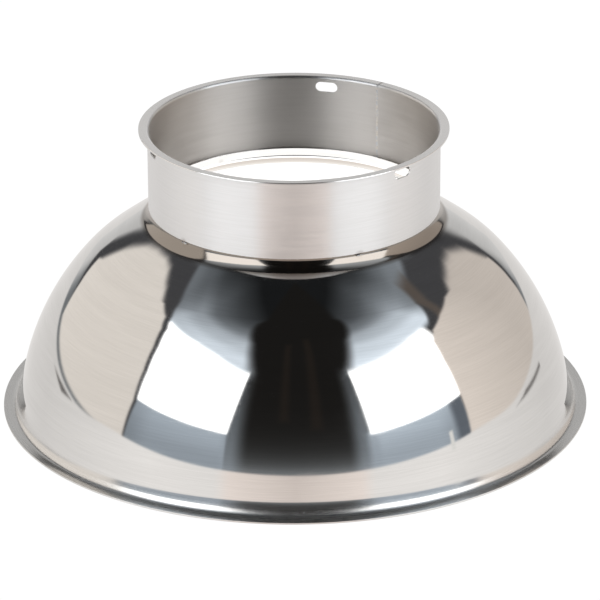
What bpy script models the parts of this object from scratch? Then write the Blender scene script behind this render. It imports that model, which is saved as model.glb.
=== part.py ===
"""Lower shade of a heat lamp: a spun stainless dome with a slotted mounting collar.

Metres, +Z up. The shade stands on its rim flange, so z = 0 is the flange's underside,
and the lamp axis is the Z axis.

The dome is one turned sheet: rim flange, root flare, wall, shoulder, neck flare and a
short upright neck. The collar is a rolled strip with a flared lip and three slots. It is
closed by a butt-weld seam, slips over the neck, and is held by four tack welds in the
step under its lower edge.
"""

from math import atan2, cos, pi, radians, sin

import bmesh
import bpy
from mathutils import Matrix, Vector

# Driving dimensions.
SHEET = 0.0008            # thickness of the steel sheet everywhere
GAP = 0.0003              # clearance kept between pieces that touch

RIM_RADIUS = 0.127        # outer edge of the rim flange

COLLAR_INNER_RADIUS = 0.0617
COLLAR_BOTTOM = 0.0910
COLLAR_TOP = 0.1265
LIP_RADIUS = 0.0663
LIP_BEND = 0.0008         # bend radius under the flared lip
NECK_OVERLAP = 0.0022     # how far the neck reaches up inside the collar

SLOT_COUNT = 3
SLOT_LENGTH = 0.0098
SLOT_HEIGHT = 0.0045
SLOT_DEPTH = 0.0046       # slot centre below the lip's top face
FIRST_SLOT_ANGLE = radians(-43.4)

SEAM_ANGLE = radians(54)
SEAM_WIDTH = 0.0010

TACK_ANGLES = (radians(-64), radians(42), radians(122), radians(222))
TACK_LENGTH = 0.0036
TACK_RADIUS = 0.0005      # half the thickness of a tack

# Values that follow from the driving dimensions.
COLLAR_OUTER_RADIUS = COLLAR_INNER_RADIUS + SHEET
NECK_RADIUS = COLLAR_INNER_RADIUS - GAP
NECK_TOP = COLLAR_BOTTOM + NECK_OVERLAP

# The dome's profile, as tangent arcs from the upright neck down to the flat flange: the
# radius, negative where the outside is hollow, the slope that the arc ends at (upright is
# 0) and the number of straight steps.
DOME_ARCS = (
    (-0.0010, radians(21.0), 2),     # turn out of the neck
    (-0.0090, radians(57.5), 4),     # neck flare
    (0.2858, radians(53.0), 2),      # flat top of the shoulder
    (0.0660, radians(41.4), 3),      # shoulder
    (0.1086, radians(9.0), 7),       # wall
    (-0.0250, radians(21.0), 2),     # root flare, tightening towards the flange
    (-0.0065, radians(38.0), 2),
    (-0.0030, radians(90.0), 4),
)

# Smoothness of the turned surfaces.
TURN_STEPS = 72
BEND_STEPS = 4
SLOT_END_STEPS = 8
SHARP_ANGLE = radians(35)
MERGE_DISTANCE = 0.00001  # closes the two ends of a full turn

POLISHED = ("polished_steel", (0.66, 0.65, 0.63, 1.0), 0.10)
BRUSHED = ("brushed_steel", (0.60, 0.59, 0.57, 1.0), 0.32)
WELD = ("weld_metal", (0.42, 0.39, 0.36, 1.0), 0.45)


def clear_scene():
    for old in list(bpy.data.objects):
        bpy.data.objects.remove(old, do_unlink=True)


def steel(name, colour, roughness):
    """A bare metal Principled material."""
    material = bpy.data.materials.get(name) or bpy.data.materials.new(name)
    material.use_nodes = True
    material.diffuse_color = colour
    shader = material.node_tree.nodes["Principled BSDF"]
    shader.inputs["Base Color"].default_value = colour
    shader.inputs["Metallic"].default_value = 1.0
    shader.inputs["Roughness"].default_value = roughness
    return material


def add_object(name, bm, finish=None):
    """Turn a finished bmesh into a smooth-shaded object."""
    bmesh.ops.recalc_face_normals(bm, faces=bm.faces)
    mesh = bpy.data.meshes.new(name)
    bm.to_mesh(mesh)
    bm.free()
    mesh.shade_smooth()
    mesh.set_sharp_from_angle(angle=SHARP_ANGLE)
    item = bpy.data.objects.new(name, mesh)
    bpy.context.scene.collection.objects.link(item)
    if finish:
        mesh.materials.append(steel(*finish))
    return item


def bend(skin, radius, end, steps):
    """Continue a skin of (point, outward normal) pairs along a tangent arc.

    The normal turns to the end angle. A negative radius makes the outside hollow.
    """
    point, normal = skin[-1]
    centre = point - radius * normal
    start = atan2(normal.y, normal.x)
    for i in range(1, steps + 1):
        angle = start + (end - start) * i / steps
        turned_normal = Vector((cos(angle), sin(angle)))
        skin.append((centre + radius * turned_normal, turned_normal))


def sheet_outline(skin):
    """Close an outer skin into the outline of a sheet by offsetting it inward."""
    outer = [point for point, normal in skin]
    inner = [point - SHEET * normal for point, normal in skin]
    return outer + inner[::-1]


def dome_outline():
    """Radius and height of the dome's section, from the neck down to the rim flange."""
    up = Vector((0, 1))
    out = Vector((1, 0))
    profile = [(Vector((NECK_RADIUS, 0)), out)]
    for radius, end, steps in DOME_ARCS:
        bend(profile, radius, end, steps)

    # The arcs fix the dome's height, so the profile is lifted to end on the flange's top.
    lift = (SHEET - profile[-1][0].y) * up
    skin = [(Vector((NECK_RADIUS, NECK_TOP)), out)]
    skin += [(point + lift, normal) for point, normal in profile]
    skin += [(Vector((RIM_RADIUS, SHEET)), up)]
    return sheet_outline(skin)


def collar_outline():
    """Radius and height of the collar's section, from the lip's edge down the wall."""
    down = Vector((0, -1))
    out = Vector((1, 0))
    lip_underside = COLLAR_TOP - SHEET
    skin = [
        (Vector((LIP_RADIUS, lip_underside)), down),
        (Vector((COLLAR_OUTER_RADIUS + LIP_BEND, lip_underside)), down),
    ]
    bend(skin, -LIP_BEND, 0.0, BEND_STEPS)
    skin += [(Vector((COLLAR_OUTER_RADIUS, COLLAR_BOTTOM)), out)]
    return sheet_outline(skin)


def turned(outline, start=0.0, sweep=2 * pi, steps=TURN_STEPS):
    """Spin a closed outline about Z. A part turn gets flat ends."""
    bm = bmesh.new()
    section = [bm.verts.new((point.x, 0, point.y)) for point in outline]
    face = bm.faces.new(section)
    bmesh.ops.rotate(bm, verts=section, cent=(0, 0, 0), matrix=Matrix.Rotation(start, 3, "Z"))
    if sweep >= 2 * pi:
        edges = list(face.edges)
        bm.faces.remove(face)
        bmesh.ops.spin(
            bm, geom=section + edges, cent=(0, 0, 0), axis=(0, 0, 1), angle=sweep, steps=steps
        )
        bmesh.ops.remove_doubles(bm, verts=bm.verts, dist=MERGE_DISTANCE)
        return bm
    bmesh.ops.spin(
        bm, geom=section + list(face.edges) + [face],
        cent=(0, 0, 0), axis=(0, 0, 1), angle=sweep, steps=steps,
    )
    return bm


def slot_cutter(index):
    """A round-ended block that passes radially through the collar wall."""
    angle = FIRST_SLOT_ANGLE + index * 2 * pi / SLOT_COUNT
    end_radius = SLOT_HEIGHT / 2
    half_straight = SLOT_LENGTH / 2 - end_radius
    bm = bmesh.new()
    ring = []
    for side in (1, -1):
        for i in range(SLOT_END_STEPS + 1):
            turn = pi * i / SLOT_END_STEPS - pi / 2
            along = side * (half_straight + end_radius * cos(turn))
            ring.append(bm.verts.new((0, along, side * end_radius * sin(turn))))
    face = bm.faces.new(ring)
    moved = bmesh.ops.extrude_face_region(bm, geom=[face])["geom"]
    depth = 4 * SHEET
    bmesh.ops.translate(
        bm, vec=(depth, 0, 0), verts=[v for v in moved if isinstance(v, bmesh.types.BMVert)]
    )
    bmesh.ops.translate(bm, vec=(COLLAR_INNER_RADIUS - depth / 2, 0, 0), verts=bm.verts)
    cutter = add_object(f"slot_cutter_{index + 1}", bm)
    cutter.location.z = COLLAR_TOP - SLOT_DEPTH
    cutter.rotation_euler.z = angle
    cutter.hide_render = True
    cutter.display_type = "WIRE"
    return cutter


def build_dome():
    return add_object("reflector_dome", turned(dome_outline()), POLISHED)


def build_collar():
    """The rolled strip: a full turn less the seam, with the slots cut through it."""
    opening = (SEAM_WIDTH + 2 * GAP) / COLLAR_OUTER_RADIUS
    strip = turned(collar_outline(), SEAM_ANGLE + opening / 2, 2 * pi - opening)
    collar = add_object("collar_band", strip, BRUSHED)
    for index in range(SLOT_COUNT):
        cut = collar.modifiers.new(f"slot_{index + 1}", "BOOLEAN")
        cut.operation = "DIFFERENCE"
        cut.solver = "EXACT"
        cut.object = slot_cutter(index)
    return collar


def build_seam():
    """Weld metal that closes the strip, with the strip's own section."""
    width = SEAM_WIDTH / COLLAR_OUTER_RADIUS
    seam = turned(collar_outline(), SEAM_ANGLE - width / 2, width, steps=1)
    return add_object("collar_seam_weld", seam, WELD)


def build_tacks():
    """Short beads in the step between the collar's lower edge and the neck."""
    reach = COLLAR_INNER_RADIUS + TACK_RADIUS
    height = COLLAR_BOTTOM - GAP - TACK_RADIUS
    tacks = []
    for number, angle in enumerate(TACK_ANGLES, start=1):
        bm = bmesh.new()
        bmesh.ops.create_uvsphere(bm, u_segments=12, v_segments=8, radius=TACK_RADIUS)
        stretch = TACK_LENGTH / (2 * TACK_RADIUS)
        bmesh.ops.scale(bm, vec=(1, stretch, 1), verts=bm.verts)
        tack = add_object(f"tack_weld_{number}", bm, WELD)
        tack.location = (reach * cos(angle), reach * sin(angle), height)
        tack.rotation_euler.z = angle
        tacks.append(tack)
    return tacks


def main():
    clear_scene()
    shade = bpy.data.objects.new("lamp_shade", None)
    bpy.context.scene.collection.objects.link(shade)
    pieces = [build_dome(), build_collar(), build_seam()] + build_tacks()
    for piece in pieces:
        piece.parent = shade


main()
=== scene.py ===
"""Looks of the heat lamp shade: finely turned meshes, steel materials, studio and camera.

Metres, +Z up, the shade standing on its rim flange at z = 0, -Y towards the camera. The
dome is one spun sheet with a mirror polish, the collar a rolled strip with a brushed
finish, closed by a butt weld and held to the dome's neck by four tack welds.

The studio is a luminous sphere that only reflections see, round a white floor. It holds two
softboxes, two beige side panels, a dark room beyond the camera and a pale backdrop.
Azimuths run in degrees from the camera's side (0) to the right (90), elevations up from
the horizon.
"""

from math import asin, atan2, cos, hypot, pi, radians, sin

import bmesh
import bpy
import numpy as np
from mathutils import Matrix, Vector


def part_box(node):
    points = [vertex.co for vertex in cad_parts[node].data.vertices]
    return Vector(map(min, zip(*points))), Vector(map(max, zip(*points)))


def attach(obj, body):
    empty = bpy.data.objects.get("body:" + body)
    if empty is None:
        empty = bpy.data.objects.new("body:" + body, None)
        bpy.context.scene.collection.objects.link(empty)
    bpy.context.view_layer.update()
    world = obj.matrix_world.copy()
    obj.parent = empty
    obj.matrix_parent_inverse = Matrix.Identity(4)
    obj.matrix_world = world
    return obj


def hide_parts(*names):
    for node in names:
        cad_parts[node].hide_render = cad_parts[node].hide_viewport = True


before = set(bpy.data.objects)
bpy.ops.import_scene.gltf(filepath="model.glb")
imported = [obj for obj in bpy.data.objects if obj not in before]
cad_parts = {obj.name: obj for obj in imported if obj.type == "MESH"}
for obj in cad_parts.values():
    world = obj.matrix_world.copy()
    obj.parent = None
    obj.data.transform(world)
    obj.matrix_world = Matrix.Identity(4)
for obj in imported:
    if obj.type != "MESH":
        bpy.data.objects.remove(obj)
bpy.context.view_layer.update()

# Places read from the CAD frame.
DOME_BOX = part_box("reflector_dome")
COLLAR_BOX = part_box("collar_band")
RIM_RADIUS = DOME_BOX[1].x
NECK_TOP = DOME_BOX[1].z
LIP_RADIUS = COLLAR_BOX[1].x
COLLAR_BOTTOM = COLLAR_BOX[0].z
COLLAR_TOP = COLLAR_BOX[1].z

# The dome's and collar's sections.
SHEET = 0.0008
NECK_RADIUS = 0.0614
COLLAR_INNER_RADIUS = 0.0617
COLLAR_OUTER_RADIUS = COLLAR_INNER_RADIUS + SHEET
LIP_BEND = 0.0008
EDGE = 0.00018            # rounding of every sheared edge
EDGE_STEPS = 3
LIP_BEND_STEPS = 8

# The dome's profile, as tangent arcs from the upright neck down to the flat flange: the
# radius, negative where the outside is hollow, the slope that the arc ends at (upright is
# 0) and the number of straight steps.
DOME_ARCS = (
    (-0.0010, radians(21.0), 8),     # turn out of the neck
    (-0.0090, radians(57.5), 16),    # neck flare
    (0.2858, radians(53.0), 8),      # flat top of the shoulder
    (0.0660, radians(41.4), 14),     # shoulder
    (0.1086, radians(9.0), 40),      # wall
    (-0.0250, radians(21.0), 10),    # root flare, tightening towards the flange
    (-0.0065, radians(38.0), 8),
    (-0.0030, radians(90.0), 14),
)

SLOT_COUNT = 3
SLOT_LENGTH = 0.0098
SLOT_HEIGHT = 0.0045
SLOT_DEPTH = 0.0046
FIRST_SLOT_ANGLE = radians(-43.4)
SLOT_EDGE = 0.00012       # rounding of the punched edges
SLOT_END_STEPS = 14
SLOT_EDGE_STEPS = 3

SEAM_ANGLE = radians(54)
SEAM_WIDTH = 0.0010
SEAM_REACH = 0.62         # half width of the bead, as a share of the seam's width
SEAM_CROWN = 0.00003      # how far the dressed bead stands proud of the wall
SEAM_SINK = 0.00002       # how far its edges lie under the sheet's surface
SEAM_STEPS = 8

TACK_ANGLES = (radians(-64), radians(42), radians(122), radians(222))
TACK_LENGTH = 0.0036
TACK_RADIUS = 0.0005
TACK_THINNING = 0.86      # leaves room for the lumps in the tack's plain solid
TACK_SHORTENING = 0.96

# The grids of the dome and collar.
DOME_COLUMNS = 288
COLLAR_COLUMNS = 240
PATCH_COLUMNS = 10        # columns of the collar's grid that give way to a slot
PATCH_ROWS = 6
PATCH_MARGIN = 0.0006     # how much farther the patch reaches below a slot than above it
LOWER_ROWS = 5            # rows of the collar's wall under the patch


# Turned sections, as (point, normal) pairs of radius and height.

def bend(skin, radius, end, steps):
    """Continue a skin along a tangent arc until its normal has turned to the end angle.

    A negative radius makes the outside hollow.
    """
    point, normal = skin[-1]
    centre = point - radius * normal
    start = atan2(normal.y, normal.x)
    for i in range(1, steps + 1):
        angle = start + (end - start) * i / steps
        turned_normal = Vector((cos(angle), sin(angle)))
        skin.append((centre + radius * turned_normal, turned_normal))


def corner(x, z, start):
    """A sheared edge's rounding, a quarter turn clockwise from the start angle."""
    rounding = []
    for i in range(EDGE_STEPS + 1):
        angle = start - pi / 2 * i / EDGE_STEPS
        normal = Vector((cos(angle), sin(angle)))
        rounding.append((Vector((x, z)) + EDGE * normal, normal))
    return rounding


def inner_skin(skin):
    return [(point - SHEET * normal, -normal) for point, normal in reversed(skin)]


def dome_section():
    """The dome's closed section, clockwise from the neck's inner top edge."""
    profile = [(Vector((NECK_RADIUS, 0)), Vector((1, 0)))]
    for radius, end, steps in DOME_ARCS:
        bend(profile, radius, end, steps)

    # The arcs fix the dome's height, so the profile is lifted to end on the flange's top.
    lift = Vector((0, SHEET - profile[-1][0].y))
    skin = [(point + lift, normal) for point, normal in profile]
    section = corner(NECK_RADIUS - SHEET + EDGE, NECK_TOP - EDGE, pi)
    section += corner(NECK_RADIUS - EDGE, NECK_TOP - EDGE, pi / 2)
    section += skin
    section += corner(RIM_RADIUS - EDGE, SHEET - EDGE, pi / 2)
    section += corner(RIM_RADIUS - EDGE, EDGE, 0)
    section += inner_skin(skin)
    return section


def collar_section():
    """The collar's closed section, from the lip's edge down the outside and up the inside.

    Also gives the two runs of rows that face each other across the slots.
    """
    slot_centre = COLLAR_TOP - SLOT_DEPTH
    bend_start = COLLAR_TOP - SHEET - LIP_BEND
    patch_bottom = slot_centre - (bend_start - slot_centre) - PATCH_MARGIN
    low = COLLAR_BOTTOM + EDGE
    heights = list(np.linspace(bend_start, patch_bottom, PATCH_ROWS + 1))
    heights += list(np.linspace(patch_bottom, low, LOWER_ROWS + 1)[1:])
    wall = [(Vector((COLLAR_OUTER_RADIUS, z)), Vector((1, 0))) for z in heights]
    down = Vector((0, -1))
    skin = [
        (Vector((LIP_RADIUS - EDGE, COLLAR_TOP - SHEET)), down),
        (Vector((COLLAR_OUTER_RADIUS + LIP_BEND, COLLAR_TOP - SHEET)), down),
    ]
    bend(skin, -LIP_BEND, 0.0, LIP_BEND_STEPS)

    section = corner(LIP_RADIUS - EDGE, COLLAR_TOP - SHEET + EDGE, 0)[:-1]
    outer_start = len(section) + len(skin) - 1
    skin += wall[1:]
    section += skin
    section += corner(COLLAR_OUTER_RADIUS - EDGE, low, 0)[1:]
    section += corner(COLLAR_INNER_RADIUS + EDGE, low, -pi / 2)
    inner_start = len(section) - 1 + LOWER_ROWS
    section += inner_skin(skin)[1:]
    section += corner(LIP_RADIUS - EDGE, COLLAR_TOP - EDGE, pi / 2)[1:-1]

    outer_rows = list(range(outer_start, outer_start + PATCH_ROWS + 1))
    inner_rows = list(range(inner_start, inner_start + PATCH_ROWS + 1))
    return section, outer_rows, inner_rows


# Mesh making. Every vertex of the dome, collar and seam carries its exact surface normal.

def around(point, angle):
    """A section's point or normal, turned to an angle about the lamp axis."""
    return Vector((point.x * cos(angle), point.x * sin(angle), point.y))


class Skin:
    """A mesh under construction, with one stated normal a vertex."""

    def __init__(self):
        self.bm = bmesh.new()
        self.normals = []

    def vertex(self, place, normal):
        self.normals.append(normal.normalized())
        return self.bm.verts.new(place)

    def column(self, section, angle):
        return [self.vertex(around(p, angle), around(n, angle)) for p, n in section]

    def join(self, first, second, skip=()):
        """Quads between two closed loops of vertices."""
        count = len(first)
        for i in range(count):
            if i not in skip:
                k = (i + 1) % count
                self.bm.faces.new((first[i], first[k], second[k], second[i]))

    def cap(self, section, angle, side):
        """A flat end with vertices of its own."""
        normal = Vector((-sin(angle), cos(angle), 0)) * side
        self.bm.faces.new([self.vertex(around(p, angle), normal) for p, n in section])

    def finish(self, name):
        bmesh.ops.recalc_face_normals(self.bm, faces=self.bm.faces)
        mesh = bpy.data.meshes.new(name)
        self.bm.to_mesh(mesh)
        self.bm.free()
        mesh.shade_smooth()
        mesh.normals_split_custom_set_from_vertices(self.normals)
        piece = bpy.data.objects.new(name, mesh)
        bpy.context.scene.collection.objects.link(piece)
        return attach(piece, "root")


def build_dome():
    skin = Skin()
    section = dome_section()
    columns = [skin.column(section, 2 * pi * i / DOME_COLUMNS) for i in range(DOME_COLUMNS)]
    for first, second in zip(columns, columns[1:] + columns[:1]):
        skin.join(first, second)
    dome = skin.finish("dome_shell")
    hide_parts("reflector_dome")
    return dome


def slot_outline(widening):
    """The slot's outline in the wall, as (place, outward direction), one entry a vertex."""
    end_radius = SLOT_HEIGHT / 2
    half_straight = SLOT_LENGTH / 2 - end_radius
    outline = []
    for side in (1, -1):
        for i in range(SLOT_END_STEPS + 1):
            turn = pi * i / SLOT_END_STEPS - pi / 2
            out = Vector((side * cos(turn), side * sin(turn)))
            place = Vector((side * half_straight, 0)) + (end_radius + widening) * out
            outline.append((place, out))
    return outline


def slot_loop(skin, centre_angle, widening, radius, tilt):
    """One ring of vertices round a slot. Tilt turns the normal from radial to into the slot."""
    loop = []
    for place, out in slot_outline(widening):
        angle = centre_angle + asin(place.x / radius)
        radial = Vector((cos(angle), sin(angle), 0))
        sideways = Vector((-sin(angle), cos(angle), 0))
        inward = -(sideways * out.x + Vector((0, 0, out.y)))
        spot = radial * radius + Vector((0, 0, COLLAR_TOP - SLOT_DEPTH + place.y))
        loop.append(skin.vertex(spot, radial * cos(tilt) + inward * sin(tilt)))
    return loop


def cut_slot(skin, centre_angle, rims):
    """Line a slot through the sheet and join it to the grid at both faces."""
    loops = []
    faces = ((COLLAR_OUTER_RADIUS, -SLOT_EDGE, 0), (COLLAR_INNER_RADIUS, SLOT_EDGE, pi / 2))
    for face_radius, inset, first_tilt in faces:
        for i in range(SLOT_EDGE_STEPS + 1):
            tilt = first_tilt + pi / 2 * i / SLOT_EDGE_STEPS
            widening = SLOT_EDGE * (1 - sin(tilt))
            radius = face_radius + inset * (1 - abs(cos(tilt)))
            loops.append(slot_loop(skin, centre_angle, widening, radius, tilt))
    for first, second in zip(loops, loops[1:]):
        skin.join(first, second)
    for rim, loop in zip(rims, (loops[0], loops[-1])):
        edges = []
        for ring in (rim, loop):
            for i, vertex in enumerate(ring):
                edges.append(skin.bm.edges.get((vertex, ring[(i + 1) % len(ring)])))
        bmesh.ops.bridge_loops(skin.bm, edges=edges)


def patch_rim(columns, first, rows):
    """The vertices round one patch of the collar's grid, as a closed ring."""
    last = first + PATCH_COLUMNS
    top = [columns[i][rows[0]] for i in range(first, last)]
    right = [columns[last][row] for row in rows[:-1]]
    bottom = [columns[i][rows[-1]] for i in range(last, first, -1)]
    left = [columns[first][row] for row in reversed(rows[1:])]
    return top + right + bottom + left


def build_collar():
    """The rolled strip: a full turn less the seam, with the slots in patches of its grid."""
    skin = Skin()
    section, outer_rows, inner_rows = collar_section()
    opening = SEAM_WIDTH / COLLAR_OUTER_RADIUS
    start = SEAM_ANGLE + opening / 2
    step = (2 * pi - opening) / COLLAR_COLUMNS
    columns = [skin.column(section, start + step * i) for i in range(COLLAR_COLUMNS + 1)]

    patches = {}
    for k in range(SLOT_COUNT):
        centre = FIRST_SLOT_ANGLE + 2 * pi * k / SLOT_COUNT
        middle = ((centre - start) % (2 * pi)) / step
        patches[centre] = round(middle) - PATCH_COLUMNS // 2
    removed = set(outer_rows[:-1]) | set(inner_rows[:-1])
    for i in range(COLLAR_COLUMNS):
        in_patch = any(first <= i < first + PATCH_COLUMNS for first in patches.values())
        skin.join(columns[i], columns[i + 1], skip=removed if in_patch else ())
    for centre, first in patches.items():
        rims = [patch_rim(columns, first, rows) for rows in (outer_rows, inner_rows)]
        cut_slot(skin, centre, rims)
    skin.cap(section, start, -1)
    skin.cap(section, start + step * COLLAR_COLUMNS, 1)
    collar = skin.finish("collar_shell")
    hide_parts("collar_band")
    return collar


def build_seam():
    """A dressed bead over the strip's closing gap: proud on the wall, flush on the lip."""
    skin = Skin()
    section = collar_section()[0]
    half_width = SEAM_REACH * SEAM_WIDTH / COLLAR_OUTER_RADIUS
    columns = []
    for i in range(SEAM_STEPS + 1):
        across = 2 * i / SEAM_STEPS - 1
        crown = SEAM_CROWN * (1 - across * across)
        raised = []
        for point, normal in section:
            on_wall = abs(normal.x) > 0.9 and point.x < COLLAR_OUTER_RADIUS + EDGE
            lift = (crown if on_wall else 0) - SEAM_SINK
            raised.append((point + lift * normal, normal))
        columns.append(skin.column(raised, SEAM_ANGLE + across * half_width))
    for first, second in zip(columns, columns[1:]):
        skin.join(first, second)
    shrunk = [(point - SEAM_SINK * normal, normal) for point, normal in section]
    skin.cap(shrunk, SEAM_ANGLE - half_width, -1)
    skin.cap(shrunk, SEAM_ANGLE + half_width, 1)
    seam = skin.finish("seam_bead")
    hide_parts("collar_seam_weld")
    return seam


def tack_centre(number):
    low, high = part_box(f"tack_weld_{number}")
    return (low + high) / 2


def build_tacks():
    """Small lumpy beads in the step between the collar's lower edge and the neck."""
    half_length = TACK_SHORTENING * TACK_LENGTH / 2
    tacks = []
    for number, angle in enumerate(TACK_ANGLES, start=1):
        bm = bmesh.new()
        bmesh.ops.create_icosphere(bm, subdivisions=4, radius=TACK_RADIUS)
        for vertex in bm.verts:
            x, y, z = vertex.co / TACK_RADIUS
            ripple = 0.10 * sin(7.0 * y + 1.3 * number) + 0.06 * sin(5.0 * z + 4.0 * x + number)
            thickness = TACK_RADIUS * (TACK_THINNING + ripple * (1 - y * y))
            vertex.co = Vector((x * thickness, y * half_length, z * thickness))
        mesh = bpy.data.meshes.new(f"tack_{number}")
        bm.to_mesh(mesh)
        bm.free()
        mesh.shade_smooth()
        tack = bpy.data.objects.new(f"tack_bead_{number}", mesh)
        turn = Matrix.Rotation(angle, 4, "Z")
        tack.matrix_world = Matrix.Translation(tack_centre(number)) @ turn
        bpy.context.scene.collection.objects.link(tack)
        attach(tack, "root")
        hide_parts(f"tack_weld_{number}")
        tacks.append(tack)
    return tacks


# Materials.

# Base colours of the polished dome, the brushed collar and the welds, some of them painted shade
# and painted sheen.
POLISH_BRIGHT = (0.68, 0.675, 0.665, 1.0)
POLISH_DULL = (0.63, 0.625, 0.615, 1.0)
# painted shade for the step under the collar
CREVICE_PAINTED_SHADE = (0.10, 0.075, 0.06, 1.0)
# painted shade for the neck flare
FLARE_PAINTED_SHADE = (0.25, 0.222, 0.195, 1.0)
BRUSHED_BRIGHT = (0.765, 0.765, 0.77, 1.0)
BRUSHED_DULL = (0.71, 0.71, 0.71, 1.0)
# painted shade for the collar's inside
INSIDE_PAINTED_SHADE = (0.58, 0.555, 0.53, 1.0)
# painted sheen for the lip's top face
LIP_PAINTED_SHEEN = (0.88, 0.87, 0.86, 1.0)
SEAM_HEAT = (0.33, 0.29, 0.26, 1.0)
TACK_HEAT = (0.16, 0.12, 0.09, 1.0)
WELD_STRAW = (0.60, 0.56, 0.51, 1.0)
WELD_BLUE = (0.52, 0.53, 0.55, 1.0)
WELD_PITS = (0.26, 0.23, 0.21, 1.0)

# Heights between which a finish or a painted shade changes into another.
ROOT_BLUR = (0.0010, 0.0080)        # the root flare is less finely polished
FLARE_START = (0.0842, 0.0856)      # the neck flare, darkened with painted shade and a little rougher
CREVICE_START = (0.0897, 0.0901)    # painted shade in the step under the collar
# the lip's top face, lighter with painted sheen and smoother
LIP_START = (COLLAR_TOP - 0.0003, COLLAR_TOP - 0.0001)

BRUSHING = 0.92           # anisotropy of the brushed finish
ACROSS_BRUSHING = 0.25    # a quarter turn, so that highlights spread across the brush lines


class Graph:
    """Short calls for building a material's nodes."""

    def __init__(self, name):
        self.material = bpy.data.materials.new(name)
        self.material.use_nodes = True
        self.tree = self.material.node_tree
        self.shader = self.tree.nodes["Principled BSDF"]

    def feed(self, socket, value):
        if isinstance(value, bpy.types.NodeSocket):
            self.tree.links.new(value, socket)
        else:
            socket.default_value = value

    def add(self, kind, inputs=None, output=0, **settings):
        made = self.tree.nodes.new("ShaderNode" + kind)
        for key, value in settings.items():
            setattr(made, key, value)
        for key, value in (inputs or {}).items():
            self.feed(made.inputs[key], value)
        return made.outputs[output]

    def maths(self, operation, first, second):
        return self.add("Math", {0: first, 1: second}, operation=operation)

    def plus(self, first, second):
        return self.maths("ADD", first, second)

    def times(self, first, second):
        return self.maths("MULTIPLY", first, second)

    def mix_colours(self, share, first, second):
        made = self.tree.nodes.new("ShaderNodeMix")
        made.data_type = "RGBA"
        self.feed(made.inputs[0], share)
        self.feed(made.inputs[6], first)
        self.feed(made.inputs[7], second)
        return made.outputs[2]

    def ramp(self, value, low, high, to_low=0.0, to_high=1.0):
        """Smoothly maps low..high to to_low..to_high, clamped."""
        return self.add(
            "MapRange",
            {0: value, 1: low, 2: high, 3: to_low, 4: to_high},
            interpolation_type="SMOOTHSTEP",
        )

    def bump(self, height, strength, distance, normal=None):
        inputs = {"Strength": strength, "Distance": distance, "Height": height}
        if normal is not None:
            inputs["Normal"] = normal
        return self.add("Bump", inputs)

    def noise(self, vector, scale=1.0, detail=2.0, roughness=0.5):
        inputs = {"Vector": vector, "Scale": scale, "Detail": detail, "Roughness": roughness}
        return self.add("TexNoise", inputs)

    def place(self):
        return self.add("TexCoord", output="Object")

    def split(self, vector):
        made = self.tree.nodes.new("ShaderNodeSeparateXYZ")
        self.feed(made.inputs[0], vector)
        return made.outputs[0], made.outputs[1], made.outputs[2]

    def turned(self):
        """The place as a flat vector from the lamp axis, its radius and its height."""
        x, y, z = self.split(self.place())
        flat = self.add("CombineXYZ", {0: x, 1: y})
        radius = self.add("VectorMath", {0: flat}, output=1, operation="LENGTH")
        return flat, radius, z

    def turned_place(self, around_scale, across_scale):
        """A place on a turned surface, stretched so that noise runs in rings round the axis."""
        flat, radius, z = self.turned()
        ring = self.add("VectorMath", {0: flat}, operation="NORMALIZE")
        ring = self.add("VectorMath", {0: ring, "Scale": around_scale}, operation="SCALE")
        across = self.times(self.maths("SUBTRACT", z, radius), across_scale)
        lift = self.add("CombineXYZ", {2: across})
        return self.add("VectorMath", {0: ring, 1: lift}, operation="ADD")

    def near_tacks(self, reach):
        """1 at a tack weld, falling to 0 at the given distance."""
        nearest = None
        for number in range(1, len(TACK_ANGLES) + 1):
            ends = {0: self.place(), 1: tack_centre(number)}
            gap = self.add("VectorMath", ends, output=1, operation="DISTANCE")
            nearest = gap if nearest is None else self.maths("MINIMUM", nearest, gap)
        return self.ramp(nearest, 0.0, reach, 1.0, 0.0)

    def near_seam(self, reach):
        """1 on the seam's centre line, falling to 0 at the given distance sideways."""
        x, y, z = self.split(self.place())
        sideways = self.times(y, cos(SEAM_ANGLE))
        sideways = self.maths("SUBTRACT", sideways, self.times(x, sin(SEAM_ANGLE)))
        outward = self.plus(self.times(x, cos(SEAM_ANGLE)), self.times(y, sin(SEAM_ANGLE)))
        close = self.ramp(self.maths("ABSOLUTE", sideways, 0.0), 0.0, reach, 1.0, 0.0)
        return self.times(close, self.ramp(outward, 0.0, 0.01))

    def brush(self):
        """Spread the highlights across brush lines that run round the lamp axis."""
        self.shader.inputs["Anisotropic"].default_value = BRUSHING
        self.shader.inputs["Anisotropic Rotation"].default_value = ACROSS_BRUSHING
        tangent = self.add("Tangent", direction_type="RADIAL", axis="Z")
        self.feed(self.shader.inputs["Tangent"], tangent)


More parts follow.
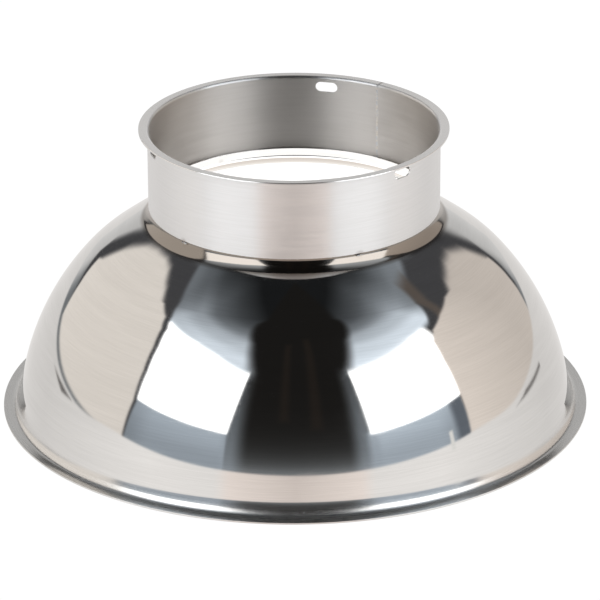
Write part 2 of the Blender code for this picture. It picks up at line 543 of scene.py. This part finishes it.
def polished_steel():
    """Mirror polish with spinning lines, haze, fine scratches and a few finger smudges."""
    graph = Graph("polished_steel")
    shader = graph.shader
    lines = graph.noise(graph.turned_place(5.0, 2600.0), detail=3.0, roughness=0.65)
    bands = graph.noise(graph.turned_place(1.2, 150.0), detail=2.0)
    cloud = graph.noise(graph.place(), scale=26.0, detail=4.0, roughness=0.6)
    wave = graph.noise(graph.turned_place(1.6, 45.0), detail=0.0)
    scratches = graph.add(
        "TexVoronoi", {"Vector": graph.turned_place(60.0, 700.0), "Scale": 1.0},
        feature="DISTANCE_TO_EDGE",
    )
    radius, z = graph.turned()[1:]
    outside = graph.ramp(radius, NECK_RADIUS - SHEET / 2, NECK_RADIUS - SHEET / 4)
    crevice = graph.times(outside, graph.ramp(z, *CREVICE_START))
    flare = graph.times(outside, graph.ramp(z, *FLARE_START))

    tone = graph.plus(graph.times(lines, 0.6), graph.times(bands, 0.4))
    colour = graph.mix_colours(graph.ramp(tone, 0.35, 0.65), POLISH_DULL, POLISH_BRIGHT)
    colour = graph.mix_colours(graph.times(graph.near_tacks(0.0026), 0.6), colour, TACK_HEAT)
    # painted shade: the step under the collar is darkened where shade falls
    colour = graph.mix_colours(crevice, colour, CREVICE_PAINTED_SHADE)
    # painted shade: the neck flare is darkened nearly to brown-black
    colour = graph.mix_colours(graph.times(flare, 0.9), colour, FLARE_PAINTED_SHADE)
    graph.feed(shader.inputs["Base Color"], colour)
    shader.inputs["Metallic"].default_value = 1.0

    rough = graph.ramp(lines, 0.30, 0.75, 0.025, 0.055)
    rough = graph.plus(rough, graph.times(flare, 0.05))
    rough = graph.plus(rough, graph.ramp(cloud, 0.55, 0.80, 0.0, 0.05))
    rough = graph.plus(rough, graph.ramp(scratches, 0.0, 0.02, 0.04, 0.0))
    rough = graph.plus(rough, graph.ramp(z, *ROOT_BLUR, 0.24, 0.0))
    graph.feed(shader.inputs["Roughness"], rough)

    fine = graph.bump(lines, 0.02, 0.00002)
    graph.feed(shader.inputs["Normal"], graph.bump(wave, 0.05, 0.0010, fine))
    return graph.material


def brushed_steel():
    """Satin finish brushed round the collar, tinted by the heat of the welds."""
    graph = Graph("brushed_steel")
    shader = graph.shader
    lines = graph.noise(graph.turned_place(3.0, 5200.0), detail=3.0, roughness=0.7)
    coarse = graph.noise(graph.turned_place(2.2, 900.0), detail=2.0, roughness=0.6)
    cloud = graph.noise(graph.place(), scale=45.0, detail=3.0)
    radius, z = graph.turned()[1:]
    inward = graph.ramp(radius, COLLAR_INNER_RADIUS, COLLAR_INNER_RADIUS + SHEET / 2, 1.0, 0.0)
    lip = graph.ramp(z, *LIP_START)

    tone = graph.plus(graph.times(lines, 0.55), graph.times(coarse, 0.45))
    colour = graph.mix_colours(graph.ramp(tone, 0.34, 0.66), BRUSHED_DULL, BRUSHED_BRIGHT)
    colour = graph.mix_colours(graph.times(graph.near_seam(0.0022), 0.15), colour, SEAM_HEAT)
    colour = graph.mix_colours(graph.times(graph.near_tacks(0.0030), 0.6), colour, TACK_HEAT)
    # painted shade: the collar's inside is darker than its outside
    colour = graph.mix_colours(inward, colour, INSIDE_PAINTED_SHADE)
    # painted sheen: the lip's top face is lighter than the rest of the collar
    colour = graph.mix_colours(lip, colour, LIP_PAINTED_SHEEN)
    graph.feed(shader.inputs["Base Color"], colour)
    shader.inputs["Metallic"].default_value = 1.0
    graph.brush()

    # The inside is the roughest and the lip's face the smoothest.
    rough = graph.ramp(coarse, 0.3, 0.7, 0.28, 0.34)
    rough = graph.plus(rough, graph.times(inward, 0.28))
    rough = graph.maths("SUBTRACT", rough, graph.times(lip, 0.11))
    rough = graph.plus(rough, graph.ramp(cloud, 0.5, 0.8, 0.0, 0.05))
    graph.feed(shader.inputs["Roughness"], rough)

    height = graph.plus(lines, graph.times(coarse, 0.5))
    graph.feed(shader.inputs["Normal"], graph.bump(height, 0.06, 0.00003))
    return graph.material


def weld_metal():
    """Dressed weld metal, straw to blue-grey."""
    graph = Graph("weld_metal")
    shader = graph.shader
    grain = graph.noise(graph.place(), scale=2600.0, detail=3.0)
    tint = graph.noise(graph.place(), scale=700.0, detail=2.0)
    colour = graph.mix_colours(graph.ramp(tint, 0.4, 0.6), WELD_STRAW, WELD_BLUE)
    colour = graph.mix_colours(graph.ramp(grain, 0.5, 0.7, 0.0, 0.5), colour, WELD_PITS)
    graph.feed(shader.inputs["Base Color"], colour)
    shader.inputs["Metallic"].default_value = 1.0
    graph.brush()
    graph.feed(shader.inputs["Roughness"], graph.ramp(grain, 0.3, 0.7, 0.46, 0.58))
    graph.feed(shader.inputs["Normal"], graph.bump(grain, 0.4, 0.00004))
    return graph.material


# Studio.

STUDIO_RADIUS = 6.0
STUDIO_CENTRE = (0, 0, 0.05)
BACKDROP_RADIUS = 9.0
FLOOR_RADIUS = 8.0
STEEL_SHINE = 0.66        # what the polished steel gives back of the studio's light
SOFTBOX_GAIN = 1.9        # how far the softboxes outshine white
LOWEST = -60              # the floor under the horizon is even below this elevation
HIGHEST = 89.9            # just short of the pole, where the columns would meet
GRID_STEP = 0.5           # spacing of the sphere's vertices in degrees

# The floor under the bowl: its light is dim on the camera's side, and grows to the far
# side between two values of y and to the rim between two radii.
UNDER_RADIUS = 0.124
UNDER_HEIGHT = -0.0005
UNDER_NEAR = 0.12
UNDER_FAR = 2.4
UNDER_FAR_SIDE = (0.0, 0.03)
UNDER_RIM = (0.086, 0.093)

WHITE_LEVEL = 1.02        # the floor and backdrop that the camera sees are just past white
DIM_ROOM = (0.013, 0.014, 0.016, 1)

# 8-bit tones, as they show in the polished steel.
BLACK = (24, 23, 22)
OUTLINE = (62, 62, 64)
SLIVER = (44, 41, 39)
STREAK = (84, 77, 72)
DOOR = (50, 40, 33)
SLATE = (146, 155, 164)
SLATE_SHADOW = (92, 98, 106)
PANEL = (212, 205.64, 198.644)
STAND = (214, 213, 210)
WHITE = (255, 255, 255)

# Outlines as (azimuth, elevation) corners, anticlockwise.
PANEL_LEFT = (
    (-138, 1), (-74.5, 0), (-74.5, 16), (-77.5, 27), (-82, 36), (-88, 43), (-97, 48),
    (-110, 49.3), (-118, 48), (-126, 44.7), (-131, 41), (-137, 34.5), (-141, 29), (-146, 20),
    (-149.5, 11),
)
OUTLINE_LEFT = (
    (-140, 3), (-74, 1), (-73, 16), (-75.5, 27.5), (-80, 37.5), (-86, 45), (-96, 50.5),
    (-108, 54.5), (-121, 55), (-131, 46.5), (-137, 39.2), (-143, 30.8), (-148, 22.2),
    (-152, 14.4), (-154.5, 8.5),
)
PANEL_RIGHT = (
    (112, -4.5), (128, -4.5), (138, -3), (144, 2), (148.5, 13), (145, 21), (139.5, 29),
    (134, 34), (126, 39), (117, 41.8), (102, 42), (88, 40.3), (82.5, 37.5), (79.5, 30),
    (77, 16), (75.8, -2),
)
OUTLINE_RIGHT = (
    (112, -3), (146, 2), (151, 13), (147.5, 22), (141, 31), (135, 39.5), (126, 50),
    (112, 54), (100, 48), (88, 42), (84, 34),
)
PANEL_STREAK = ((99, 41), (104, 40), (118, 53), (112, 56))
SLIVERS = (
    ((-124, -2.4), (-114, -3.2), (-106, -1.4), (-114, -1.6)),
    ((106, -2.6), (128, -5.2), (128, -4.4), (112, -2.2)),
)
DOORS = (
    ((-7, 26), (-3, 26), (-3, 62), (-7, 62)),
    ((7, 22), (12, 22), (12, 66), (7, 66)),
)
STAND_OUTLINE = ((65.7, -1), (67.5, -1), (67.5, 6.5), (65.7, 6.5))


def smooth(value, edge, softness):
    """0 below the edge and 1 above it, with a soft step between."""
    share = np.clip((value - edge) / softness + 0.5, 0, 1)
    return share * share * (3 - 2 * share)


def between(value, low, high, low_softness, high_softness):
    """1 between two edges and 0 outside them, with a soft step at each."""
    return smooth(value, low, low_softness) * smooth(high - value, 0, high_softness)


def inside(azimuth, elevation, corners, softness):
    """1 inside a convex outline and 0 outside it, with a soft edge."""
    depth = np.full(azimuth.shape, np.inf)
    for (a, e), (b, f) in zip(corners, corners[1:] + corners[:1]):
        distance = ((b - a) * (elevation - e) - (f - e) * (azimuth - a)) / hypot(b - a, f - e)
        depth = np.minimum(depth, distance)
    return smooth(depth, 0, softness)


def paint(tones, mask, tone):
    """Lay a tone, or one tone a direction, over the tones where the mask is 1."""
    tones += mask[:, None] * (np.array(tone, dtype=float) - tones)


def shades(level, tint):
    """Tones of one tint at the given levels."""
    return level[:, None] * np.array(tint)


def linear_light(tones):
    """Linear light that shows in the steel as the given 8-bit tones."""
    share = tones / 255
    linear = np.where(share <= 0.04045, share / 12.92, ((share + 0.055) / 1.055) ** 2.4)
    return linear / STEEL_SHINE


def softbox_masks(azimuth, elevation):
    """The two softboxes, each a little slanted and soft at its top."""
    raised = elevation - 17
    top = 48.8 - 3.3 * smooth(azimuth, -40, 30)
    left = between(elevation, 17.3, top, 0.9, 2.6)
    left *= between(azimuth, -92, -29 + 0.14 * raised, 3, 1.5)
    right = between(elevation, 16.5, 45.4, 0.9, 3.4)
    right *= between(azimuth, 31.8 - 0.08 * raised, 86, 1.5, 6)
    return left, right


def paint_room(tones, azimuth, elevation):
    """The dark room, lighter towards the floor, with two brown doors in it."""
    level = 84 * np.exp(-np.maximum(elevation - 3, 0) / 7)
    tones += shades(level, (0.97, 1.02, 1.06))
    for door in DOORS:
        paint(tones, 0.3 * inside(azimuth, elevation, door, 4.0), DOOR)


def paint_glow(tones, azimuth, elevation):
    """The softboxes' glow on the ceiling, dying away to the top and to the sides."""
    away = np.abs(azimuth)
    heights = (44, 50, 58, 62, 66, 70, 74, 80)
    level = np.interp(elevation, heights, (236, 220, 186, 160, 114, 84, 62, 24))
    level *= 1 + 0.02 * np.sin(0.8 * elevation + 0.05 * azimuth)
    level *= 1 - 0.38 * smooth(away, 102, 18)
    level *= 1 - 0.12 * smooth(-azimuth, 80, 40)
    edge_left = np.interp(elevation, (46, 60, 74), (25, 33, 49))
    edge_right = np.interp(elevation, (46, 60, 74), (31, 41, 63))
    edge = np.where(azimuth < 0, edge_left, edge_right)
    glow = smooth(away - edge, 0, 11) * smooth(elevation, 44, 6)
    paint(tones, glow, shades(np.maximum(level, 24), (0.955, 1.0, 1.045)))


def paint_wall(tones, azimuth, elevation):
    """The grey wall under the softboxes and, fainter, beside them."""
    away = np.abs(azimuth)
    level = 0.97 + 0.13 * smooth(elevation, 11, 12) - 0.12 * smooth(away, 68, 14)
    under = smooth(17.6 - elevation, 0, 1.2)
    paint(tones, under * between(azimuth, -73.8, -29, 1.0, 1.4), shades(level, SLATE))
    paint(tones, under * between(azimuth, 30.5, 76.5, 4, 1.5), shades(1.09 * level, SLATE))
    paint(tones, under * between(azimuth, 70, 76.5, 4, 1.2), SLATE_SHADOW)
    beside = between(azimuth, -31, -23, 3, 8) + between(azimuth, 25, 35, 7, 3)
    beside *= smooth(46 - elevation, 0, 6) * (1 - 0.4 * smooth(elevation, 30, 40))
    paint(tones, 0.62 * beside, SLATE)


def paint_backdrop(tones, azimuth, elevation):
    """The pale backdrop behind the shade, greyer upwards."""
    level = np.interp(elevation, (-5, 8, 30, 45, 60, 78), (196, 180, 164, 145, 108, 40))
    paint(tones, smooth(np.abs(azimuth), 148, 12), shades(level, (1.0, 0.995, 0.99)))


def paint_panels(tones, azimuth, elevation):
    """The side panels with their dark outlines, over the softboxes' ends."""
    paint(tones, inside(azimuth, elevation, OUTLINE_LEFT, 2.0), OUTLINE)
    paint(tones, inside(azimuth, elevation, OUTLINE_RIGHT, 2.4), OUTLINE)
    paint(tones, inside(azimuth, elevation, PANEL_STREAK, 4.0), STREAK)
    paint(tones, inside(azimuth, elevation, PANEL_LEFT, 1.8), PANEL)
    level = np.interp(azimuth, (80, 125), (214, 188))
    panel = inside(azimuth, elevation, PANEL_RIGHT, 1.8)
    paint(tones, panel, shades(level, (1.0, 0.955, 0.915)))


def paint_floor(tones, azimuth, elevation):
    """The floor, pinker between the softboxes, with a lamp stand and two dark slivers."""
    away = np.abs(azimuth)
    horizon = np.where(away < 75, 1.9, 1.9 - smooth(away, 90, 30) * 2.4)
    level = np.interp(away, (0, 30, 60, 90, 125, 180), (194, 220, 224, 212, 198, 196))
    pinker = shades(smooth(29 - away, 0, 8), (6, -2, -6))
    floor = shades(level, (1.010, 0.998, 0.988)) + pinker
    paint(tones, smooth(horizon - elevation, 0, 1.2), floor)
    paint(tones, inside(azimuth, elevation, STAND_OUTLINE, 0.8), STAND)
    for sliver in SLIVERS:
        paint(tones, 0.6 * inside(azimuth, elevation, sliver, 0.9), SLIVER)


def studio_tones(azimuth, elevation):
    """8-bit tones of the studio, and how much softbox there is in each direction."""
    tones = np.tile(np.array(BLACK, dtype=float), (len(azimuth), 1))
    paint_room(tones, azimuth, elevation)
    paint_glow(tones, azimuth, elevation)
    paint_wall(tones, azimuth, elevation)
    paint_backdrop(tones, azimuth, elevation)
    left, right = softbox_masks(azimuth, elevation)
    paint(tones, np.maximum(left, right), WHITE)
    paint_panels(tones, azimuth, elevation)
    left *= 1 - inside(azimuth, elevation, OUTLINE_LEFT, 2.0)
    right *= 1 - inside(azimuth, elevation, PANEL_RIGHT, 1.8)
    paint_floor(tones, azimuth, elevation)
    return tones, np.maximum(left, right)


def glowing(name, source):
    """A material that only gives off light, of a colour made by the given node."""
    material = bpy.data.materials.new(name)
    material.use_nodes = True
    tree = material.node_tree
    tree.nodes.clear()
    colour = source(tree)
    glow = tree.nodes.new("ShaderNodeEmission")
    output = tree.nodes.new("ShaderNodeOutputMaterial")
    tree.links.new(colour, glow.inputs["Color"])
    tree.links.new(glow.outputs[0], output.inputs["Surface"])
    return material


def stored_tone(tree):
    tone = tree.nodes.new("ShaderNodeAttribute")
    tone.attribute_name = "tone"
    return tone.outputs["Color"]


def lit_floor(tree):
    """Light under the bowl: dim on the camera's side, bright behind and along the rim."""
    place = tree.nodes.new("ShaderNodeTexCoord")
    split = tree.nodes.new("ShaderNodeSeparateXYZ")
    reach = tree.nodes.new("ShaderNodeVectorMath")
    brighter = tree.nodes.new("ShaderNodeMath")
    reach.operation = "LENGTH"
    brighter.operation = "MAXIMUM"
    tree.links.new(place.outputs["Object"], split.inputs[0])
    tree.links.new(place.outputs["Object"], reach.inputs[0])
    edges = ((split.outputs["Y"], UNDER_FAR_SIDE), (reach.outputs["Value"], UNDER_RIM))
    for number, (measure, (low, high)) in enumerate(edges):
        share = tree.nodes.new("ShaderNodeMapRange")
        tree.links.new(measure, share.inputs["Value"])
        share.inputs["From Min"].default_value = low
        share.inputs["From Max"].default_value = high
        share.inputs["To Min"].default_value = UNDER_NEAR
        share.inputs["To Max"].default_value = UNDER_FAR
        tree.links.new(share.outputs["Result"], brighter.inputs[number])
    return brighter.outputs[0]


def plain_white():
    """White of its own light, which no other light or shadow changes."""
    graph = Graph("plain_white")
    shader = graph.shader
    shader.inputs["Base Color"].default_value = (0, 0, 0, 1)
    shader.inputs["Specular IOR Level"].default_value = 0.0
    shader.inputs["Emission Color"].default_value = (1, 1, 1, 1)
    shader.inputs["Emission Strength"].default_value = WHITE_LEVEL
    return graph.material


def stage_object(mesh, material):
    """An object of the mesh's name that belongs to the stage."""
    mesh.materials.append(material)
    made = bpy.data.objects.new(mesh.name, mesh)
    bpy.context.scene.collection.objects.link(made)
    return made


def stage_shape(name, bm, material):
    mesh = bpy.data.meshes.new(name)
    bm.to_mesh(mesh)
    bm.free()
    return stage_object(mesh, material)


def disc(name, radius, height, material):
    bm = bmesh.new()
    bmesh.ops.create_circle(bm, cap_ends=True, segments=96, radius=radius)
    bmesh.ops.translate(bm, vec=(0, 0, height), verts=bm.verts)
    return stage_shape(name, bm, material)


def build_studio():
    """The luminous sphere, with its light stored at the vertices."""
    columns = round(360 / GRID_STEP)
    rows = round((90 - LOWEST) / GRID_STEP)
    azimuth, elevation = np.meshgrid(
        np.linspace(-180, 180, columns + 1), np.linspace(LOWEST, HIGHEST, rows + 1)
    )
    azimuth, elevation = azimuth.ravel(), elevation.ravel()
    a, e = np.radians(azimuth), np.radians(elevation)
    places = np.stack((np.sin(a) * np.cos(e), -np.cos(a) * np.cos(e), np.sin(e)), axis=1)
    places = places * STUDIO_RADIUS + np.array(STUDIO_CENTRE)

    corner_rows, corner_columns = np.meshgrid(np.arange(rows), np.arange(columns), indexing="ij")
    first = (corner_rows * (columns + 1) + corner_columns).ravel()
    faces = np.stack((first, first + 1, first + columns + 2, first + columns + 1), axis=1)
    mesh = bpy.data.meshes.new("studio")
    mesh.from_pydata(places.tolist(), [], faces.tolist())

    tones, softbox = studio_tones(azimuth, elevation)
    light = linear_light(tones) * (1 + (SOFTBOX_GAIN - 1) * softbox[:, None])
    stored = mesh.attributes.new("tone", "FLOAT_COLOR", "POINT")
    stored.data.foreach_set("color", np.hstack((light, np.ones((len(light), 1)))).ravel())
    stage_object(mesh, glowing("studio_light", stored_tone)).visible_camera = False


def build_stage():
    """The floor and backdrop that the camera sees, and the lit floor under the bowl."""
    white = plain_white()
    floor = disc("floor", FLOOR_RADIUS, 0.0, white)
    bm = bmesh.new()
    bmesh.ops.create_uvsphere(bm, u_segments=48, v_segments=24, radius=BACKDROP_RADIUS)
    backdrop = stage_shape("backdrop", bm, white)
    for item in (floor, backdrop):
        item.visible_glossy = False
        item.visible_diffuse = False
        item.visible_shadow = False

    floor_light = glowing("floor_light", lit_floor)
    bounce = disc("floor_bounce", UNDER_RADIUS, UNDER_HEIGHT, floor_light)
    bounce.visible_camera = False

    world = bpy.data.worlds.new("dim_room")
    world.use_nodes = True
    world.node_tree.nodes["Background"].inputs["Color"].default_value = DIM_ROOM
    bpy.context.scene.world = world
    bpy.context.scene.view_settings.view_transform = "Standard"


# Camera.

CAMERA_PLACE = Vector((0.00229, -1.73587, 0.78586))
CAMERA_PITCH = radians(23.0825)
CAMERA_ROLL = radians(-0.2503)
CAMERA_LENS = 261.6
CAMERA_SENSOR = 36


def build_camera():
    data = bpy.data.cameras.new("camera")
    data.lens = CAMERA_LENS
    data.sensor_width = CAMERA_SENSOR
    camera = bpy.data.objects.new("camera", data)
    bpy.context.scene.collection.objects.link(camera)
    camera.matrix_world = (
        Matrix.Translation(CAMERA_PLACE)
        @ Matrix.Rotation(pi / 2 - CAMERA_PITCH, 4, "X")
        @ Matrix.Rotation(CAMERA_ROLL, 4, "Z")
    )
    bpy.context.scene.camera = camera


build_camera()
build_studio()
build_stage()

build_dome().data.materials.append(polished_steel())
build_collar().data.materials.append(brushed_steel())
weld = weld_metal()
for bead in [build_seam()] + build_tacks():
    bead.data.materials.append(weld)
